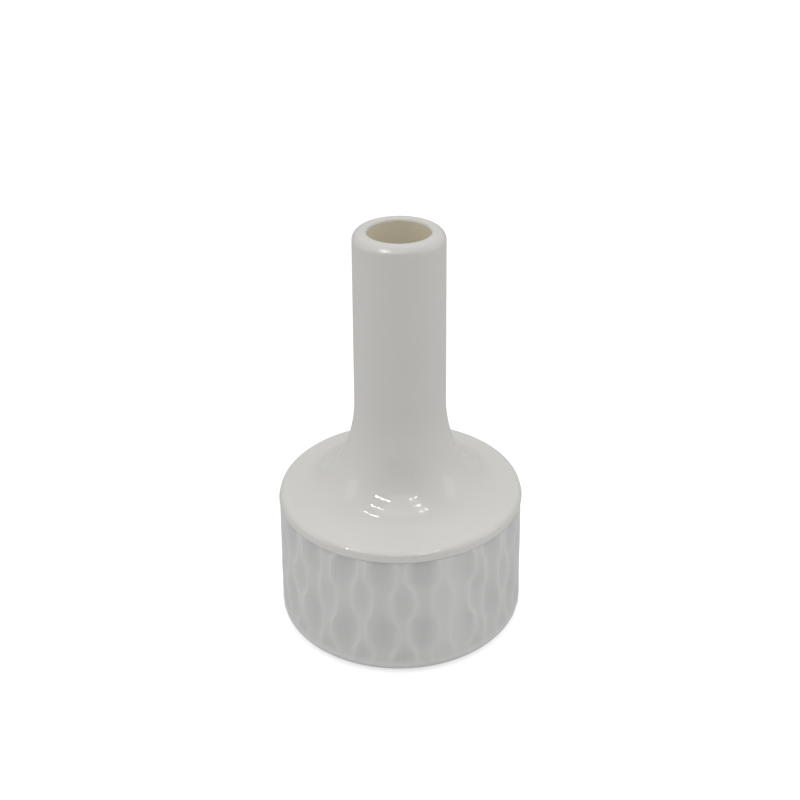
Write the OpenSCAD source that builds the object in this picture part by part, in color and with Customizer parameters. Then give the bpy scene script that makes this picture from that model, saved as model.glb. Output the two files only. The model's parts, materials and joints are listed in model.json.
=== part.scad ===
// Porcelain bud vase: a wide drum with a relief wall, a flared shoulder and a slim straight neck.
// The clay sections are cast apart and luted together on stepped joints, then glazed inside and out.
// Every section is round about the Z axis, and the table is at z = 0.

/* [Overall] */
// Height of the vase from the table to the lip
vase_h = 124; // [104:1:150]
// Largest diameter of the drum
drum_d = 74; // [70:1:90]
// Height of the shoulder's edge above the table
edge_h = 41.6; // [34:0.2:50]
// Thickness of the clay in the drum and the shoulder
wall_t = 3.4; // [2.8:0.1:4.2]

/* [Neck] */
// Outside diameter of the glazed neck where the flare begins
neck_d = 27; // [22.5:0.5:33]
// Outside diameter of the glazed neck under the lip
neck_top_d = 26.5; // [23.5:0.5:30]
// Diameter of the bore that takes the stems
bore_d = 18; // [15:0.5:22.5]
// Rounding of the lip on its outside
lip_out_r = 2.7; // [1.5:0.1:3]
// Rounding of the lip towards the bore
lip_in_r = 0.9; // [0.6:0.1:1.2]

/* [Shoulder] */
// Reach of the hollow flare outwards from the neck
flare_w = 16.6; // [13:0.2:18]
// Height of the hollow flare
flare_h = 27.5; // [22:0.5:33]
// Fall of the shoulder from the flare to its edge, in degrees
shoulder_fall = 5; // [2:0.5:8]
// Rounding of the shoulder's edge
edge_r = 2; // [1:0.1:2.2]
// Height of the plain ring under the edge
ring_h = 3.1; // [3:0.1:5]
// How far the plain ring leans outwards from the edge down to its lower rim
ring_lean = 0.9; // [0:0.05:1.5]
// Rounding of the plain ring's lower rim
rim_r = 0.5; // [0.5:0.05:0.8]
// Rounding inside, where the shoulder turns down into the ring
inner_round = 3; // [2:0.1:4]

/* [Relief wall] */
// Step inwards from the plain ring to the ridges of the relief
ring_step = 0.4; // [0.3:0.05:0.9]
// How far the wall spreads outwards from the ring down to the base
wall_spread = 0.4; // [0:0.1:0.4]
// Rounding at the foot of the wall
base_round = 2.4; // [1:0.1:3]

/* [Floor and foot] */
// Thickness of the floor disc
floor_t = 3.6; // [2.8:0.1:5]
// Outside diameter of the foot ring
foot_d = 60; // [48:1:64]
// Width of the foot ring's face
foot_w = 4; // [3:0.5:6]
// Height at which the foot ring holds the drum off the table
foot_stand = 0.8; // [0.4:0.1:1.5]
// Depth of the groove in the floor that locates the foot ring
foot_groove = 1; // [0.6:0.1:1.6]

/* [Joints and glaze] */
// Overlap of each stepped joint between two clay sections
joint_lap = 3; // [2:0.1:5]
// Clearance that the luting slip fills around each step
lute_gap = 0.1; // [0.05:0.05:0.3]
// Thickness of the gloss glaze on the neck, shoulder and ring
glaze_t = 0.2; // [0.1:0.05:0.4]
// Thickness of the glaze that lines the chamber
liner_t = 0.25; // [0.15:0.05:0.5]

/* [Hidden] */

porcelain = "#d8d7d2";
glaze_white = "#f0efea";
liner_cream = "#d9ceb0";
biscuit = "#cfc8b8";

drum_r = drum_d / 2;
edge_rad = drum_r - ring_lean;
neck_r = neck_d / 2;
neck_top_r = neck_top_d / 2;
bore_r = bore_d / 2;
neck_wall = neck_r - bore_r;
lip_wall = neck_top_r - bore_r;
lip_out = min(lip_out_r, lip_wall * 0.7);
lip_in = min(lip_in_r, lip_wall - lip_out);

// Heights of the joints between the sections
fall = tan(shoulder_fall);
ring_z = edge_h - ring_h;
neck_z = edge_h + (edge_rad - neck_r) * fall + flare_h;
tongue_z = neck_z - joint_lap;
floor_z = foot_stand + floor_t;

// Radii of the wall, its steps and the chamber
crest_top_r = drum_r - ring_step;
crest_base_r = crest_top_r + wall_spread;
chamber_r = crest_top_r - wall_t;
wall_step_r = chamber_r + wall_t / 2;
neck_step_r = bore_r + neck_wall / 2;

// Centres of the rounding between the shoulder's fall and the leaning ring, and of its lower rim
ring_tilt = atan(ring_lean / ring_h);
edge_turn = 90 - shoulder_fall - ring_tilt;
edge_c = [edge_rad, edge_h]
    - edge_r * ([sin(shoulder_fall), cos(shoulder_fall)] + [cos(ring_tilt), sin(ring_tilt)])
        / (1 + cos(edge_turn));
rim_c = [drum_r - rim_r * (1 + sin(ring_tilt)) / cos(ring_tilt), ring_z + rim_r];
flare_step = 5;
arc_step = 15;

function arc(c, r, from, to) =
    let (n = max(2, ceil(abs(to - from) / arc_step)))
    [for (i = [0 : n]) let (a = from + (to - from) * i / n) c + r * [cos(a), sin(a)]];

// Outer line of the shoulder at turn t: 0 where it leaves the neck, 90 where the flare ends
function flare_point(t) =
    let (r = neck_r + flare_w * (1 - cos(t)))
    [r, edge_h + (edge_rad - r) * fall + flare_h * (1 - sin(t))];
function flare_normal(t) =
    let (dr = flare_w * sin(t), dz = -flare_h * cos(t) - dr * fall)
    [-dz, dr] / norm([dr, dz]);
function flare_line(depth) =
    [for (t = [0 : flare_step : 90]) flare_point(t) - depth * flare_normal(t)];

// The clay thins evenly from the neck's wall to the drum's wall along the flare
function shell_t(t) = neck_wall + (wall_t - neck_wall) * t / 90;
function under_line(cover) =
    [for (t = [90 : -flare_step : 0]) flare_point(t) - (shell_t(t) + cover) * flare_normal(t)];

// Outline of the lip, from the bore over the top to the neck, and of the shoulder down to the ring
function lip_line(depth) = concat(
    arc([bore_r + lip_in, vase_h - lip_in], lip_in - depth, 180, 90),
    arc([neck_top_r - lip_out, vase_h - lip_out], lip_out - depth, 90, 0));
function shoulder_line(depth) = concat(
    flare_line(depth),
    arc(edge_c, edge_r - depth, 90 - shoulder_fall, ring_tilt),
    arc(rim_c, rim_r - depth, ring_tilt, -75),
    [[rim_c[0], ring_z]]);

// Half section of the chamber, with its walls brought in by a cover of glaze
function chamber_section(cover) =
    let (
        turn = 90 - shoulder_fall,
        flat = flare_point(90) - (wall_t + cover) * flare_normal(90),
        r = chamber_r - inner_round,
        z = flat[1] - (r - flat[0]) * fall - (inner_round - cover) / cos(shoulder_fall))
    concat(
        [[0, floor_z + cover], [chamber_r - cover, floor_z + cover]],
        arc([r, z], inner_round - cover, 0, turn),
        under_line(cover),
        [[0, neck_z]]);

module turned() { rotate_extrude($fn = 96) children(); }

// Straight tube with a rounded lip, whose lower end steps down into the shoulder's throat
module neck() {
    color(porcelain) turned() difference() {
        polygon(concat(
            [[bore_r, tongue_z], [bore_r, vase_h - lip_in]],
            lip_line(glaze_t),
            [[neck_r - glaze_t, neck_z], [neck_r - glaze_t, tongue_z]]));
        translate([neck_step_r, tongue_z - 1]) square([neck_wall, joint_lap + 1]);
    }
}

// Flared shell that carries the neck, with the plain ring and a tongue that enters the wall
module shoulder() {
    color(porcelain) turned() difference() {
        polygon(concat(
            [[0, neck_z]],
            shoulder_line(glaze_t),
            [[wall_step_r - lute_gap, ring_z],
             [wall_step_r - lute_gap, ring_z - joint_lap], [0, ring_z - joint_lap]]));
        polygon(chamber_section(0));
        translate([0, tongue_z]) square([neck_step_r + lute_gap, joint_lap + 1]);
    }
}

// Drum wall at the full size of its ridges, stepped for the shoulder above and the floor below
module relief_wall() {
    color(porcelain) turned() difference() {
        polygon(concat(
            [[chamber_r, foot_stand]],
            arc([crest_base_r - base_round, foot_stand + base_round], base_round, -90, 0),
            [[crest_top_r, ring_z], [chamber_r, ring_z]]));
        translate([0, ring_z - joint_lap]) square([wall_step_r, joint_lap + 1]);
        translate([0, foot_stand - 1]) square([wall_step_r, floor_t + 1]);
    }
}

// Disc let into the wall from below, grooved underneath for the foot ring
module floor() {
    color(biscuit) turned() difference() {
        translate([0, foot_stand]) square([wall_step_r - lute_gap, floor_t]);
        translate([foot_d / 2 - foot_w - lute_gap, foot_stand - 1])
            square([foot_w + 2 * lute_gap, foot_groove + 1]);
    }
}

// Bare foot that the glaze is wiped from, with its corners eased
module foot_ring() {
    ease = foot_stand * 0.4;
    foot_r = foot_d / 2;
    color(biscuit) turned() polygon([
        [foot_r - foot_w + ease, 0], [foot_r - ease, 0], [foot_r, ease],
        [foot_r, foot_stand + foot_groove], [foot_r - foot_w, foot_stand + foot_groove],
        [foot_r - foot_w, ease]]);
}

// Gloss glaze in one skin over the lip, the neck, the shoulder and the plain ring
module outer_glaze() {
    color(glaze_white) turned() difference() {
        polygon(concat(lip_line(0), shoulder_line(0), [[0, ring_z], [0, vase_h - lip_in]]));
        polygon(concat(lip_line(glaze_t), shoulder_line(glaze_t), [[0, ring_z], [0, vase_h - lip_in]]));
    }
}

// Cream glaze that makes the chamber hold water, from the neck's lower end down over the floor
module inner_glaze() {
    color(liner_cream) turned() difference() {
        polygon(chamber_section(0));
        polygon(chamber_section(liner_t));
        translate([0, tongue_z]) square([chamber_r, neck_z]);
    }
}

neck();
shoulder();
relief_wall();
floor();
foot_ring();
outer_glaze();
inner_glaze();
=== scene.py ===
import json
import math
import random

import bpy
import numpy as np
from mathutils import Matrix, Vector


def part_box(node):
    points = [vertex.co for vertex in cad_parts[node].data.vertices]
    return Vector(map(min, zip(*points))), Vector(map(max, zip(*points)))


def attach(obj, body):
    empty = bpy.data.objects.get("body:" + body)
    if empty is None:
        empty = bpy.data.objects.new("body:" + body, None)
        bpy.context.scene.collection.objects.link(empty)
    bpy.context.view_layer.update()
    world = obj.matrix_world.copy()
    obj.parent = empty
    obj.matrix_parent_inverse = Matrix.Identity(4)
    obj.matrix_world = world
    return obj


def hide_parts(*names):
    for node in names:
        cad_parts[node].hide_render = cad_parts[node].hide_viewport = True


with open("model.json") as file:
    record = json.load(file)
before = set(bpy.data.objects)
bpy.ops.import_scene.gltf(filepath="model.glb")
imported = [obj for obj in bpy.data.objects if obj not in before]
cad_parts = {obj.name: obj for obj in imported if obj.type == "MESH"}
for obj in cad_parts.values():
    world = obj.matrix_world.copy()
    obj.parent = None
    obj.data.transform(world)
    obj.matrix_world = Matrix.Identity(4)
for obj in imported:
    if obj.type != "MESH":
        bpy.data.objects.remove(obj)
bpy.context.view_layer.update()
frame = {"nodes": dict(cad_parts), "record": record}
scene = bpy.context.scene
scene.view_settings.view_transform = "Standard"

MM = 0.001

# ---------------------------------------------------------------------------
# Foot ring: a narrow ring of bare clay under the drum, turned while leather hard.
# The glaze is wiped off it so that the vase does not stick to the kiln shelf.
# ---------------------------------------------------------------------------
foot_low, foot_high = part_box("foot_ring")
foot_r = foot_high.x
foot_width = 4.0 * MM
foot_ease = 0.35 * MM
clay_bare = (0.66, 0.61, 0.52, 1.0)
clay_grit = (0.46, 0.40, 0.32, 1.0)


def spun(name, outline, steps, closed=True):
    """Mesh turned about the Z axis from an outline of (radius, height) points."""
    points = len(outline)
    on_axis = [radius < 1e-7 for radius, height in outline]
    verts, faces, first = [], [], []
    for (radius, height), pole in zip(outline, on_axis):
        first.append(len(verts))
        if pole:
            verts.append((0.0, 0.0, height))
            continue
        for k in range(steps):
            turn = 2 * math.pi * k / steps
            verts.append((radius * math.cos(turn), radius * math.sin(turn), height))
    spans = points if closed else points - 1
    for i in range(spans):
        j = (i + 1) % points
        if on_axis[i] and on_axis[j]:
            continue
        for k in range(steps):
            m = (k + 1) % steps
            low = [first[i]] if on_axis[i] else [first[i] + k, first[i] + m]
            high = [first[j]] if on_axis[j] else [first[j] + m, first[j] + k]
            faces.append(low + high)
    mesh = bpy.data.meshes.new(name)
    mesh.from_pydata(verts, [], faces)
    mesh.update()
    piece = bpy.data.objects.new(name, mesh)
    scene.collection.objects.link(piece)
    mesh.polygons.foreach_set("use_smooth", [True] * len(mesh.polygons))
    return piece


def bend(centre_r, centre_z, radius, start, end, points):
    """Points along an arc in the (radius, height) plane, from one angle to the other."""
    turns = [math.radians(start + (end - start) * i / points) for i in range(points + 1)]
    return [(centre_r + radius * math.cos(a), centre_z + radius * math.sin(a)) for a in turns]


def even(outline, spacing, closed=True):
    """The same outline with long straight stretches cut into shorter ones."""
    result = []
    spans = len(outline) if closed else len(outline) - 1
    for i in range(spans):
        (r0, z0), (r1, z1) = outline[i], outline[(i + 1) % len(outline)]
        cuts = max(1, math.ceil(math.hypot(r1 - r0, z1 - z0) / spacing))
        result += [(r0 + (r1 - r0) * c / cuts, z0 + (z1 - z0) * c / cuts) for c in range(cuts)]
    if not closed:
        result.append(outline[-1])
    return result


def crisp(piece, degrees):
    """Sharpens the edges that turn by more than an angle, and keeps the rest smooth."""
    piece.data.set_sharp_from_angle(angle=math.radians(degrees))


def inputs(node, **values):
    """Sets a node's inputs by name, with _ for a space."""
    for name, value in values.items():
        node.inputs[name.replace("_", " ")].default_value = value
    return node


def clay_grain_group():
    """Grain of fired clay: a mask of coarse specks and a fine height for bump."""
    group = bpy.data.node_groups.new("clay_grain", "ShaderNodeTree")
    face = group.interface
    face.new_socket("Grain size", in_out="INPUT", socket_type="NodeSocketFloat")
    face.new_socket("Specks", in_out="OUTPUT", socket_type="NodeSocketFloat")
    face.new_socket("Height", in_out="OUTPUT", socket_type="NodeSocketFloat")
    nodes, links = group.nodes, group.links
    start, end = nodes.new("NodeGroupInput"), nodes.new("NodeGroupOutput")
    place = nodes.new("ShaderNodeTexCoord")
    fine = inputs(nodes.new("ShaderNodeTexNoise"), Detail=4.0, Roughness=0.6)
    speck = nodes.new("ShaderNodeTexVoronoi")
    mask = nodes.new("ShaderNodeMapRange")
    inputs(mask, From_Min=0.05, From_Max=0.22, To_Min=1.0, To_Max=0.0)
    for texture in (fine, speck):
        links.new(place.outputs["Object"], texture.inputs["Vector"])
        links.new(start.outputs["Grain size"], texture.inputs["Scale"])
    links.new(speck.outputs["Distance"], mask.inputs["Value"])
    links.new(mask.outputs["Result"], end.inputs["Specks"])
    links.new(fine.outputs["Fac"], end.inputs["Height"])
    return group


clay_grain = clay_grain_group()


def bare_clay(name, grain_size):
    """Matt fired clay with fine grit in it."""
    material = bpy.data.materials.new(name)
    material.use_nodes = True
    nodes, links = material.node_tree.nodes, material.node_tree.links
    shader = nodes["Principled BSDF"]
    inputs(shader, Roughness=0.85)
    shader.inputs["Specular IOR Level"].default_value = 0.25
    grain = nodes.new("ShaderNodeGroup")
    grain.node_tree = clay_grain
    inputs(grain, Grain_size=grain_size)
    tint = nodes.new("ShaderNodeMix")
    tint.data_type = "RGBA"
    tint.inputs[6].default_value = clay_bare
    tint.inputs[7].default_value = clay_grit
    rough = inputs(nodes.new("ShaderNodeMapRange"), To_Min=0.72, To_Max=0.92)
    bump = inputs(nodes.new("ShaderNodeBump"), Strength=0.5, Distance=0.00008)
    links.new(grain.outputs["Specks"], tint.inputs[0])
    links.new(tint.outputs[2], shader.inputs["Base Color"])
    links.new(grain.outputs["Height"], rough.inputs["Value"])
    links.new(rough.outputs["Result"], shader.inputs["Roughness"])
    links.new(grain.outputs["Height"], bump.inputs["Height"])
    links.new(bump.outputs["Normal"], shader.inputs["Normal"])
    return material


foot_inner_r = foot_r - foot_width
foot_outline = (
    bend(foot_inner_r + foot_ease, foot_low.z + foot_ease, foot_ease, 180, 270, 4)
    + bend(foot_r - foot_ease, foot_low.z + foot_ease, foot_ease, -90, 0, 4)
    + [(foot_r, foot_high.z), (foot_inner_r, foot_high.z)]
)
foot_ring = spun("foot_ring_turned", even(foot_outline, 0.8 * MM), 288)
crisp(foot_ring, 40)
foot_clay = bare_clay("foot_clay", 2600.0)
foot_ring.data.materials.append(foot_clay)
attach(foot_ring, "root")
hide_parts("foot_ring")

# ---------------------------------------------------------------------------
# Floor: a flat disc of the same clay, luted into the bottom of the wall.
# Its underside is bare, with the faint rings that the turning tool leaves.
# ---------------------------------------------------------------------------
floor_low, floor_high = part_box("floor")
groove_gap = 0.1 * MM
tool_ring_pitch = 1.3 * MM
tool_ring_depth = 0.03 * MM


def tool_rings(outline, height):
    """Shallow rings cut upwards into every point that lies at one height."""
    turned = []
    for radius, z in outline:
        if abs(z - height) < 1e-7 and radius > tool_ring_pitch:
            z += tool_ring_depth * (0.5 - 0.5 * math.cos(2 * math.pi * radius / tool_ring_pitch))
        turned.append((radius, z))
    return turned


groove_inner = foot_inner_r - groove_gap
groove_outer = foot_r + groove_gap
floor_outline = [
    (0.0, floor_low.z),
    (groove_inner, floor_low.z),
    (groove_inner, foot_high.z),
    (groove_outer, foot_high.z),
    (groove_outer, floor_low.z),
    (floor_high.x, floor_low.z),
    (floor_high.x, floor_high.z),
    (0.0, floor_high.z),
]
floor_disc = spun("floor_disc", tool_rings(even(floor_outline, 0.25 * MM), floor_low.z), 192)
crisp(floor_disc, 40)
floor_disc.data.materials.append(bare_clay("floor_clay", 2200.0))
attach(floor_disc, "root")
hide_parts("floor")

# ---------------------------------------------------------------------------
# Relief wall: the drum's cast wall. Thin wavy ridges run up it in pairs that swing
# apart and together, and leave almond hollows, where painted shade greys the glaze colour.
# ---------------------------------------------------------------------------
wall_low, wall_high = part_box("relief_wall")
floor_step_r = floor_high.x + groove_gap
chamber_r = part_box("inner_glaze")[1].x
wall_base_r = wall_high.x
wall_spread = 0.4 * MM
wall_top_r = wall_base_r - wall_spread
wall_base_round = 2.4 * MM
wall_top_z = wall_high.z
tongue_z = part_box("shoulder")[0].z

ridge_pairs = 20
pair_turn = 2 * math.pi / ridge_pairs
first_broad_turn = math.radians(-8.1)
ridge_reach = math.radians(5.4)
ridge_swing = math.radians(1.45)
wave_pitch = 21.2 * MM
broad_z = 35.0 * MM
hollow_depth = 1.0 * MM
ridge_half_width = 1.1 * MM
worn_turn = math.radians(22)
worn_width = math.radians(9)
worn_share = 0.55
wander_pitch = 37.0 * MM
drift_pitch = 30.0 * MM
open_half_width = 4.4 * MM
plain_base = 0.8 * MM
fade_height = 3.0 * MM
relief_seed = 11
pair_uneven = 0.25
reach_uneven = 0.07
swing_uneven = 0.4
shift_uneven = 1.3 * MM
wander_uneven = 0.6
swing_hold = 1.7
lowest_crest = 0.7
pinch_depth = 0.22
dish_edge = 0.25
depth_drift = 0.10
around_steps = 1200
up_steps = 100


def ridge_lines(height, draw):
    """Turn of every ridge at each height, in order around the wall."""
    lines = []
    for pair in range(ridge_pairs):
        centre = first_broad_turn + pair * pair_turn + draw.gauss(0, pair_uneven) * math.pi / 180
        for side in (-1, 1):
            reach = ridge_reach * (1 + draw.uniform(-reach_uneven, reach_uneven))
            swing = ridge_swing * (1 + draw.uniform(-swing_uneven, swing_uneven))
            shift = draw.gauss(0, shift_uneven)
            wander = math.radians(draw.uniform(-wander_uneven, wander_uneven))
            swell = 2 * math.pi * (height - broad_z - shift) / wave_pitch
            wave = np.tanh(swing_hold * np.cos(swell)) / math.tanh(swing_hold)
            slow = np.sin(2 * math.pi * height / wander_pitch + draw.uniform(0, 6.28))
            lines.append(centre + side * (reach + swing * wave) + wander * slow)
    return np.array(lines)


def soft_field(around, height, draw, waves, weight):
    """Smooth wandering value from a few waves that close up around the wall."""
    value = np.zeros_like(around)
    for wave in range(waves):
        turns = draw.randint(2, 9)
        climb = draw.uniform(-1, 1) * 2 * math.pi / drift_pitch
        value += np.sin(turns * around + climb * height + draw.uniform(0, 6.28))
    return weight * value / math.sqrt(waves)


def relief_depth(around, height):
    """Depth of the wall below its full size, at each turn and height."""
    draw = random.Random(relief_seed)
    rows = height[:, 0]
    lines = ridge_lines(rows, draw)
    crest = np.array([draw.uniform(lowest_crest, 1.0) for ridge in range(2 * ridge_pairs)])
    depth = np.zeros_like(around)
    for row in range(len(rows)):
        turn = np.mod(lines[:, row], 2 * math.pi)
        order = np.argsort(turn)
        turn, tall = turn[order], crest[order]
        ring = np.concatenate([turn[-1:] - 2 * math.pi, turn, turn[:1] + 2 * math.pi])
        tall = np.concatenate([tall[-1:], tall, tall[:1]])
        here = np.mod(around[row], 2 * math.pi)
        after = np.clip(np.searchsorted(ring, here), 1, len(ring) - 1)
        left, right = ring[after - 1], ring[after]
        half = (right - left) / 2 * wall_top_r
        near_left = (here - left) * wall_top_r
        near_right = (right - here) * wall_top_r
        rise = (tall[after - 1] * np.exp(-((near_left / ridge_half_width) ** 2))
                + tall[after] * np.exp(-((near_right / ridge_half_width) ** 2)))
        room = np.clip(half / open_half_width, 0, 1.15) ** 1.5
        across = np.clip((near_left - half) / half, -1, 1)
        dish = dish_edge + (1 - dish_edge) * (1 - across ** 2)
        depth[row] = (pinch_depth + (1 - pinch_depth) * room * dish
                      - pinch_depth * np.clip(rise, 0, 1))
    depth *= 1 + soft_field(around, height, draw, 5, depth_drift)
    worn = np.exp(-(((around - worn_turn) / worn_width) ** 4))
    depth *= 1 - worn_share * worn
    return hollow_depth * np.clip(depth, 0.0, 1.0)


def relief_wall_mesh():
    """Closed wall: the relief outside, plain inside, stepped for the shoulder and the floor."""
    outer = bend(wall_base_r - wall_base_round, wall_low.z + wall_base_round, wall_base_round,
                 -90, 0, 10)
    base_top_z = outer[-1][1]
    straight = (wall_top_z - base_top_z) / up_steps
    outer += [(wall_base_r + (wall_top_r - wall_base_r) * i / up_steps,
               base_top_z + straight * i) for i in range(1, up_steps + 1)]
    inner = [
        (floor_step_r, wall_top_z), (floor_step_r, tongue_z), (chamber_r, tongue_z),
        (chamber_r, floor_high.z), (floor_step_r, floor_high.z), (floor_step_r, wall_low.z),
    ]
    inner = even(inner, 2.5 * MM, closed=False)
    piece = spun("relief_wall_cast", outer + inner, around_steps)
    mesh = piece.data
    coords = np.empty(len(mesh.vertices) * 3)
    mesh.vertices.foreach_get("co", coords)
    coords = coords.reshape(-1, around_steps, 3)
    skin = coords[: len(outer)]
    around = np.arctan2(skin[..., 0], -skin[..., 1])
    depth = relief_depth(around, skin[..., 2])
    fade = np.clip((skin[..., 2] - wall_low.z - plain_base) / fade_height, 0, 1)
    depth *= fade * fade * (3 - 2 * fade)
    radius = np.hypot(skin[..., 0], skin[..., 1])
    skin[..., :2] *= ((radius - depth) / radius)[..., None]
    mesh.vertices.foreach_set("co", coords.ravel())
    # The hollow depth is kept on the mesh; the glaze colour uses it to paint shade into the
    # hollows.
    hollow = np.zeros(coords.shape[:2])
    hollow[: len(outer)] = depth / hollow_depth
    layer = mesh.attributes.new("hollow", "FLOAT", "POINT")
    layer.data.foreach_set("value", hollow.ravel())
    mesh.update()
    return piece


def glaze_tone_group():
    """Slow drift of tone in a fired glaze, fine pinholes, and a gentle unevenness for bump."""
    group = bpy.data.node_groups.new("glaze_tone", "ShaderNodeTree")
    face = group.interface
    for name in ("Drift size", "Pinhole size"):
        face.new_socket(name, in_out="INPUT", socket_type="NodeSocketFloat")
    for name in ("Drift", "Pinholes", "Height"):
        face.new_socket(name, in_out="OUTPUT", socket_type="NodeSocketFloat")
    nodes, links = group.nodes, group.links
    start, end = nodes.new("NodeGroupInput"), nodes.new("NodeGroupOutput")
    place = nodes.new("ShaderNodeTexCoord")
    drift = inputs(nodes.new("ShaderNodeTexNoise"), Detail=2.0, Roughness=0.5)
    ripple = inputs(nodes.new("ShaderNodeTexNoise"), Detail=1.0, Roughness=0.4)
    faster = nodes.new("ShaderNodeMath")
    faster.operation = "MULTIPLY"
    faster.inputs[1].default_value = 2.5
    pits = nodes.new("ShaderNodeTexVoronoi")
    mask = inputs(nodes.new("ShaderNodeMapRange"), From_Min=0.02, From_Max=0.05,
                  To_Min=1.0, To_Max=0.0)
    for texture in (drift, ripple, pits):
        links.new(place.outputs["Object"], texture.inputs["Vector"])
    links.new(start.outputs["Drift size"], drift.inputs["Scale"])
    links.new(start.outputs["Drift size"], faster.inputs[0])
    links.new(faster.outputs["Value"], ripple.inputs["Scale"])
    links.new(start.outputs["Pinhole size"], pits.inputs["Scale"])
    links.new(pits.outputs["Distance"], mask.inputs["Value"])
    links.new(drift.outputs["Fac"], end.inputs["Drift"])
    links.new(mask.outputs["Result"], end.inputs["Pinholes"])
    links.new(ripple.outputs["Fac"], end.inputs["Height"])
    return group


glaze_tone = glaze_tone_group()
relief_crest_white = (0.88, 0.88, 0.87, 1.0)
# Greyer white for the hollows: painted shade where the relief is recessed.
relief_hollow_shade_white = (0.735, 0.735, 0.73, 1.0)


def satin_glaze():
    """Thin satin glaze with painted shade: greyer in the hollows, paler on the ridges."""
    material = bpy.data.materials.new("satin_relief_glaze")
    material.use_nodes = True
    nodes, links = material.node_tree.nodes, material.node_tree.links
    shader = nodes["Principled BSDF"]
    inputs(shader, Roughness=0.42, IOR=1.5)
    tone = nodes.new("ShaderNodeGroup")
    tone.node_tree = glaze_tone
    inputs(tone, Drift_size=70.0, Pinhole_size=900.0)
    hollow = nodes.new("ShaderNodeAttribute")
    hollow.attribute_name = "hollow"
    # Painted shade: the deeper the hollow, the greyer the glaze colour.
    hollow_shade_mix = nodes.new("ShaderNodeMix")
    hollow_shade_mix.data_type = "RGBA"
    hollow_shade_mix.inputs[6].default_value = relief_crest_white
    hollow_shade_mix.inputs[7].default_value = relief_hollow_shade_white
    rough = inputs(nodes.new("ShaderNodeMapRange"), To_Min=0.34, To_Max=0.5)
    bump = inputs(nodes.new("ShaderNodeBump"), Strength=0.25, Distance=0.0003)
    links.new(hollow.outputs["Fac"], hollow_shade_mix.inputs[0])
    links.new(hollow_shade_mix.outputs[2], shader.inputs["Base Color"])
    links.new(tone.outputs["Drift"], rough.inputs["Value"])
    links.new(rough.outputs["Result"], shader.inputs["Roughness"])
    links.new(tone.outputs["Height"], bump.inputs["Height"])
    links.new(bump.outputs["Normal"], shader.inputs["Normal"])
    return material


relief_wall = relief_wall_mesh()
crisp(relief_wall, 60)
relief_wall.data.materials.append(satin_glaze())
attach(relief_wall, "root")
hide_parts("relief_wall")

# ---------------------------------------------------------------------------
# Shoulder: the flared clay shell between the wall and the neck, with a tongue that
# drops inside the wall. The glaze covers all of it but the tongue and the joints.
# ---------------------------------------------------------------------------
cad_nodes = frame["nodes"]
shoulder_clay = cad_nodes["shoulder"]
shoulder_clay.data.materials.clear()
shoulder_clay.data.materials.append(bare_clay("shoulder_clay", 2000.0))

# ---------------------------------------------------------------------------
# Gloss glaze: one clear skin over the lip, the neck, the flare, the shoulder and the
# plain ring. Fired to a deep shine, slightly uneven where it ran.
# ---------------------------------------------------------------------------
skin_low, skin_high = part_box("outer_glaze")
lip_z = skin_high.z
ring_low_r = min(skin_high.x, skin_high.y)
ring_low_z = skin_low.z
ring_height = 3.1 * MM
ring_lean = 0.9 * MM
edge_round = 2.0 * MM
rim_round = 0.5 * MM
shoulder_fall = math.radians(5)
flare_w = 16.6 * MM
flare_h = 27.5 * MM
neck_base_r = 13.5 * MM
neck_top_r = 13.25 * MM
mounts = {mount["name"]: mount for mount in frame["record"]["mounts"]}
bore_r = mounts["neck_bore"]["dims"]["r_mm"] * MM
lip_out = 2.7 * MM
lip_in = 0.9 * MM
lip_in_steps = 8
lip_out_steps = 12
flare_steps = 60
skin_thickness = 0.2 * MM

edge_r = ring_low_r - ring_lean
edge_z = ring_low_z + ring_height
ring_tilt = math.atan2(ring_lean, ring_height)
fall_slope = math.tan(shoulder_fall)


def skin_outline(depth):
    """Outer line of the glaze, brought in by a depth, from the bore over to the ring."""
    line = bend(bore_r + lip_in, lip_z - lip_in, lip_in - depth, 180, 90, lip_in_steps)
    line += bend(neck_top_r - lip_out, lip_z - lip_out, lip_out - depth, 90, 0, lip_out_steps)
    for i in range(flare_steps + 1):
        turn = math.radians(90 * i / flare_steps)
        radius = neck_base_r + flare_w * (1 - math.cos(turn))
        z = edge_z + (edge_r - radius) * fall_slope + flare_h * (1 - math.sin(turn))
        along_r = flare_w * math.sin(turn)
        along_z = -flare_h * math.cos(turn) - along_r * fall_slope
        length = math.hypot(along_r, along_z)
        line.append((radius + depth * along_z / length, z - depth * along_r / length))
    share = edge_round / (1 + math.cos(math.pi / 2 - shoulder_fall - ring_tilt))
    centre_r = edge_r - share * (math.sin(shoulder_fall) + math.cos(ring_tilt))
    centre_z = edge_z - share * (math.cos(shoulder_fall) + math.sin(ring_tilt))
    line += bend(centre_r, centre_z, edge_round - depth,
                 90 - math.degrees(shoulder_fall), math.degrees(ring_tilt), 16)
    rim_r = ring_low_r - rim_round * (1 + math.sin(ring_tilt)) / math.cos(ring_tilt)
    line += bend(rim_r, ring_low_z + rim_round, rim_round - depth,
                 math.degrees(ring_tilt), -75, 8)
    line.append((rim_r, ring_low_z))
    return line


gloss_white = (0.83, 0.818, 0.78, 1.0)
gloss_cool = (0.80, 0.793, 0.765, 1.0)
gloss_speck = (0.60, 0.57, 0.50, 1.0)


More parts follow.
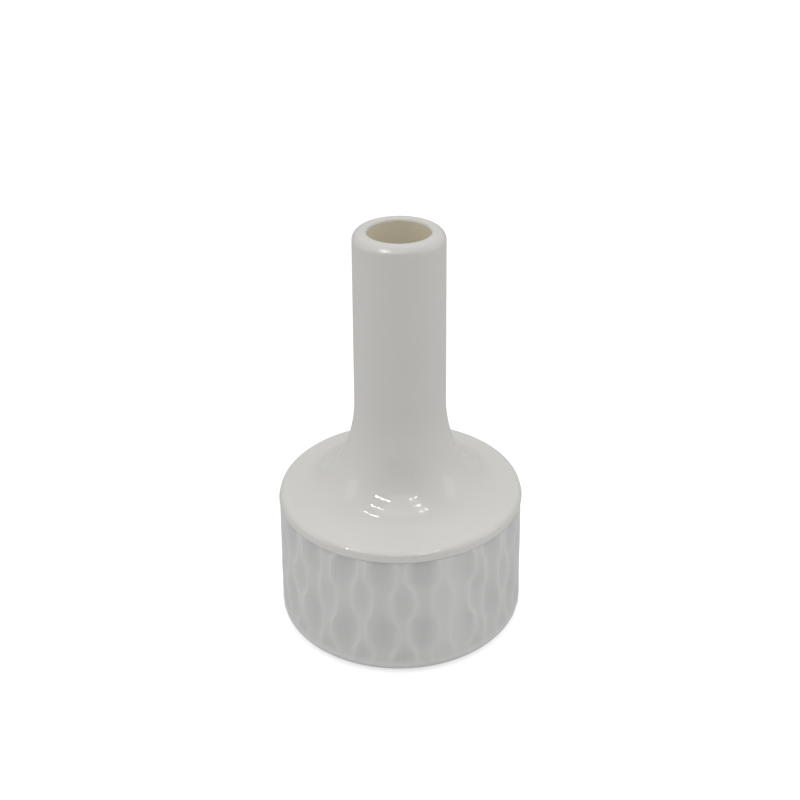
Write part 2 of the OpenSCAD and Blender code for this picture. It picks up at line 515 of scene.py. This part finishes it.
def gloss_glaze():
    """Clear gloss over white clay, with a faint drift of tone and a few pinholes."""
    material = bpy.data.materials.new("gloss_glaze_fired")
    material.use_nodes = True
    nodes, links = material.node_tree.nodes, material.node_tree.links
    shader = nodes["Principled BSDF"]
    inputs(shader, Roughness=0.1, IOR=1.5)
    tone = nodes.new("ShaderNodeGroup")
    tone.node_tree = glaze_tone
    inputs(tone, Drift_size=38.0, Pinhole_size=320.0)
    drift = nodes.new("ShaderNodeMix")
    drift.data_type = "RGBA"
    drift.inputs[6].default_value = gloss_white
    drift.inputs[7].default_value = gloss_cool
    pits = nodes.new("ShaderNodeMix")
    pits.data_type = "RGBA"
    pits.inputs[7].default_value = gloss_speck
    rough = inputs(nodes.new("ShaderNodeMapRange"), To_Min=0.03, To_Max=0.08)
    bump = inputs(nodes.new("ShaderNodeBump"), Strength=0.08, Distance=0.0006)
    links.new(tone.outputs["Drift"], drift.inputs[0])
    links.new(drift.outputs[2], pits.inputs[6])
    links.new(tone.outputs["Pinholes"], pits.inputs[0])
    links.new(pits.outputs[2], shader.inputs["Base Color"])
    links.new(tone.outputs["Drift"], rough.inputs["Value"])
    links.new(rough.outputs["Result"], shader.inputs["Roughness"])
    links.new(tone.outputs["Height"], bump.inputs["Height"])
    links.new(bump.outputs["Normal"], shader.inputs["Normal"])
    return material


skin_line = (even(skin_outline(0.0), 1.2 * MM, closed=False)
             + even(skin_outline(skin_thickness)[::-1], 3.0 * MM, closed=False))
gloss_skin = spun("gloss_glaze_skin", skin_line, 360)
crisp(gloss_skin, 50)
gloss_skin.data.materials.append(gloss_glaze())
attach(gloss_skin, "root")
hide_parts("outer_glaze")

# ---------------------------------------------------------------------------
# Neck: the cast tube that stands in the shoulder's throat. Its bore is seen from above
# and carries the same cream glaze as the chamber.
# ---------------------------------------------------------------------------
neck_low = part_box("neck")[0]
neck_joint_lap = 3.0 * MM
neck_joint_z = neck_low.z + neck_joint_lap
neck_step_r = (bore_r + neck_base_r) / 2
bore_cream = (0.89, 0.835, 0.72, 1.0)
bore_cream_deep = (0.84, 0.77, 0.60, 1.0)


def cream_glaze(name):
    """Cream glaze that ran down the inside: glossy, thicker and warmer in streaks."""
    material = bpy.data.materials.new(name)
    material.use_nodes = True
    nodes, links = material.node_tree.nodes, material.node_tree.links
    shader = nodes["Principled BSDF"]
    inputs(shader, Roughness=0.18, IOR=1.5)
    tone = nodes.new("ShaderNodeGroup")
    tone.node_tree = glaze_tone
    inputs(tone, Drift_size=60.0, Pinhole_size=500.0)
    drift = nodes.new("ShaderNodeMix")
    drift.data_type = "RGBA"
    drift.inputs[6].default_value = bore_cream
    drift.inputs[7].default_value = bore_cream_deep
    rough = inputs(nodes.new("ShaderNodeMapRange"), To_Min=0.12, To_Max=0.3)
    bump = inputs(nodes.new("ShaderNodeBump"), Strength=0.2, Distance=0.0005)
    links.new(tone.outputs["Drift"], drift.inputs[0])
    links.new(drift.outputs[2], shader.inputs["Base Color"])
    links.new(tone.outputs["Drift"], rough.inputs["Value"])
    links.new(rough.outputs["Result"], shader.inputs["Roughness"])
    links.new(tone.outputs["Height"], bump.inputs["Height"])
    links.new(bump.outputs["Normal"], shader.inputs["Normal"])
    return material


lip_points = lip_in_steps + lip_out_steps + 2
under_skin = skin_outline(skin_thickness)[:lip_points]
neck_outline = (
    [(bore_r, neck_low.z), (bore_r, lip_z - lip_in)]
    + under_skin
    + [(neck_base_r - skin_thickness, neck_joint_z), (neck_step_r, neck_joint_z),
       (neck_step_r, neck_low.z)]
)
neck_tube = spun("neck_tube", even(neck_outline, 1.5 * MM), 240)
crisp(neck_tube, 40)
neck_tube.data.materials.append(cream_glaze("bore_glaze"))
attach(neck_tube, "root")
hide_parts("neck")

# ---------------------------------------------------------------------------
# Cream liner: the glaze poured in and out of the chamber. It seals the joints from
# inside and holds the water.
# ---------------------------------------------------------------------------
chamber_liner = cad_nodes["inner_glaze"]
chamber_liner.data.materials.clear()
chamber_liner.data.materials.append(cream_glaze("chamber_glaze"))

# ---------------------------------------------------------------------------
# Table and light: a white table top in a white light tent. Its lid is brightest, the
# side walls glow, and the opening that the camera looks in through is dimmer.
# ---------------------------------------------------------------------------
table_mesh = bpy.data.meshes.new("table_top")
table_half = 3.0
table_white = (0.66, 0.66, 0.66, 1.0)
table_lift = 0.62
table_mesh.from_pydata(
    [(-table_half, -table_half, 0), (table_half, -table_half, 0),
     (table_half, table_half, 0), (-table_half, table_half, 0)], [], [(0, 1, 2, 3)])
table_top = bpy.data.objects.new("table_top", table_mesh)
scene.collection.objects.link(table_top)
table_paint = bpy.data.materials.new("table_paint")
table_paint.use_nodes = True
table_nodes, table_links = table_paint.node_tree.nodes, table_paint.node_tree.links
table_shader = table_nodes["Principled BSDF"]
inputs(table_shader, Base_Color=table_white, Roughness=0.9)
table_shader.inputs["Emission Color"].default_value = (1, 1, 1, 1)
seen = table_nodes.new("ShaderNodeLightPath")
lift = table_nodes.new("ShaderNodeMath")
lift.operation = "MULTIPLY"
lift.inputs[1].default_value = table_lift
table_links.new(seen.outputs["Is Camera Ray"], lift.inputs[0])
table_links.new(lift.outputs["Value"], table_shader.inputs["Emission Strength"])
table_mesh.materials.append(table_paint)

tent_wall = 0.33
tent_lid = 0.70
tent_side = 0.42
tent_opening = 0.40
room = bpy.data.worlds.new("light_tent")
scene.world = room
room.use_nodes = True
room_nodes, room_links = room.node_tree.nodes, room.node_tree.links


def room_math(operation, *values):
    """One step of arithmetic on the tent's brightness."""
    step = room_nodes.new("ShaderNodeMath")
    step.operation = operation
    for socket, value in zip(step.inputs, values):
        if isinstance(value, (int, float)):
            socket.default_value = value
        else:
            room_links.new(value, socket)
    return step.outputs["Value"]


heading = room_nodes.new("ShaderNodeTexCoord")
split = room_nodes.new("ShaderNodeSeparateXYZ")
room_links.new(heading.outputs["Generated"], split.inputs["Vector"])
towards_x, towards_y, towards_z = (split.outputs[axis] for axis in "XYZ")
lid = room_math("MULTIPLY", room_math("POWER", room_math("MAXIMUM", towards_z, 0.0), 2.0), tent_lid)
side = room_math("MULTIPLY", room_math("POWER", room_math("ABSOLUTE", towards_x), 4.0), tent_side)
front = room_math("MAXIMUM", room_math("MULTIPLY", towards_y, -1.0), 0.0)
opening = room_math("MULTIPLY", room_math("POWER", front, 3.0), tent_opening)
bright = room_math("ADD", room_math("ADD", lid, side), tent_wall)
bright = room_math("SUBTRACT", bright, opening)
room_path = room_nodes.new("ShaderNodeLightPath")
level = room_nodes.new("ShaderNodeMix")
room_links.new(room_path.outputs["Is Camera Ray"], level.inputs[0])
room_links.new(bright, level.inputs[2])
level.inputs[3].default_value = 1.0
room_links.new(level.outputs[0], room_nodes["Background"].inputs["Strength"])
inputs(room_nodes["Background"], Color=(1, 1, 1, 1))

# A wide window of light in the lid, over the front of the table.
lid_z = 0.4
window_width = 0.32
window_depth = 0.38
window_power = 0.34
window_data = bpy.data.lights.new("lid_window", "AREA")
window_data.shape = "RECTANGLE"
window_data.size = window_width
window_data.size_y = window_depth
window_data.energy = window_power
window = bpy.data.objects.new("lid_window", window_data)
window.location = (-0.01, -0.37, lid_z)
scene.collection.objects.link(window)

# A soft box stands on each side of the table, a little above the vase.
box_reach = 0.6
box_height = 0.3
box_tilt = math.radians(66)
box_power = 0.13
for hand in (-1, 1):
    box_data = bpy.data.lights.new("side_box", "AREA")
    box_data.shape = "RECTANGLE"
    box_data.size = 0.26
    box_data.size_y = 0.2
    box_data.energy = box_power
    side_box = bpy.data.objects.new("side_box", box_data)
    side_box.location = (hand * box_reach, -0.04, box_height)
    side_box.rotation_euler = (0, hand * box_tilt, 0)
    scene.collection.objects.link(side_box)

# Three bars of small lamps cross the lid, broken by the window in the middle.
# Each run is (x from, y from, x to, y to, lamps).
lamp_half = 4.0 * MM
lamp_strength = 140.0
lamp_runs = [
    (-0.380, -0.412, -0.155, -0.409, 26),
    (-0.325, -0.235, -0.156, -0.243, 9),
    (-0.296, -0.101, -0.148, -0.136, 7),
    (0.133, -0.441, 0.230, -0.463, 10),
    (0.134, -0.298, 0.205, -0.314, 5),
    (0.150, -0.202, 0.207, -0.209, 3),
]
lamp_glow = bpy.data.materials.new("lamp_glow")
lamp_glow.use_nodes = True
glow_nodes = lamp_glow.node_tree.nodes
glow_nodes.remove(glow_nodes["Principled BSDF"])
glow = inputs(glow_nodes.new("ShaderNodeEmission"), Strength=lamp_strength)
lamp_glow.node_tree.links.new(glow.outputs["Emission"],
                              glow_nodes["Material Output"].inputs["Surface"])
lamp_verts, lamp_faces = [], []
for x0, y0, x1, y1, lamps in lamp_runs:
    for lamp in range(lamps):
        share = lamp / max(1, lamps - 1)
        x, y = x0 + (x1 - x0) * share, y0 + (y1 - y0) * share
        first = len(lamp_verts)
        lamp_verts += [(x - lamp_half, y - lamp_half, lid_z), (x - lamp_half, y + lamp_half, lid_z),
                       (x + lamp_half, y + lamp_half, lid_z), (x + lamp_half, y - lamp_half, lid_z)]
        lamp_faces.append((first, first + 1, first + 2, first + 3))
lamp_mesh = bpy.data.meshes.new("lid_lamps")
lamp_mesh.from_pydata(lamp_verts, [], lamp_faces)
lamp_mesh.materials.append(lamp_glow)
lid_lamps = bpy.data.objects.new("lid_lamps", lamp_mesh)
lid_lamps.visible_diffuse = False
lid_lamps.visible_camera = False
lid_lamps.visible_shadow = False
scene.collection.objects.link(lid_lamps)

# ---------------------------------------------------------------------------
# Camera: held above the table in front of the vase and looking down at it.
# ---------------------------------------------------------------------------
lens_distance = 337.3 * MM
lens_height = 260.1 * MM
look_down = math.radians(24.32)
look_right = math.radians(2.01)
lean = math.radians(-0.4)
camera_data = bpy.data.cameras.new("camera")
camera_data.sensor_width = 36
camera_data.lens = 58.97
camera_data.shift_x = -0.0567
camera_data.shift_y = -0.1455
camera_data.clip_start = 0.01
camera = bpy.data.objects.new("camera", camera_data)
forward = Vector((0, math.cos(look_down), -math.sin(look_down)))
across = Vector((1, 0, 0))
upward = across.cross(forward)
forward, across = (forward * math.cos(look_right) + across * math.sin(look_right),
                   across * math.cos(look_right) - forward * math.sin(look_right))
across, upward = (across * math.cos(lean) + upward * math.sin(lean),
                  upward * math.cos(lean) - across * math.sin(lean))
turn = Matrix((across, upward, -forward)).transposed().to_4x4()
camera.matrix_world = Matrix.Translation((0, -lens_distance, lens_height)) @ turn
scene.collection.objects.link(camera)
scene.camera = camera
